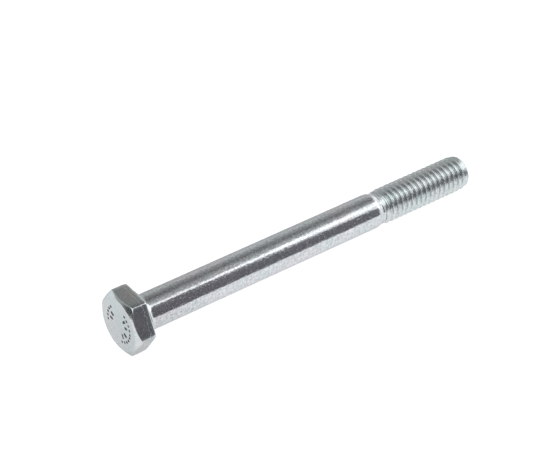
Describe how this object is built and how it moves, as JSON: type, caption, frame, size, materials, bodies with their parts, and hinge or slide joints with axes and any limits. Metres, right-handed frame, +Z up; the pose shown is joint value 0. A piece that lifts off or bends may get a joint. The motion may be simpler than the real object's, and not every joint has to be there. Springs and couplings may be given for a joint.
{
  "type": "hex bolt",
  "caption": "Hexagon head bolt with a plain shank, a partly threaded end and a chamfered head, bright zinc plated.",
  "frame": {"origin": "centre of the bearing face under the head, on the bolt's axis", "axes": "+X along the bolt from the head to the thread's end, +Z up and square to a pair of the head's flats"},
  "size_m": [0.0685, 0.011, 0.0098],
  "materials": {
    "zinc_plate": "bright zinc plated, blue-white passivate, satin to bright"
  },
  "bodies": {
    "root": {"head": "zinc_plate", "shank": "zinc_plate", "thread": "zinc_plate"}
  },
  "joints": []
}
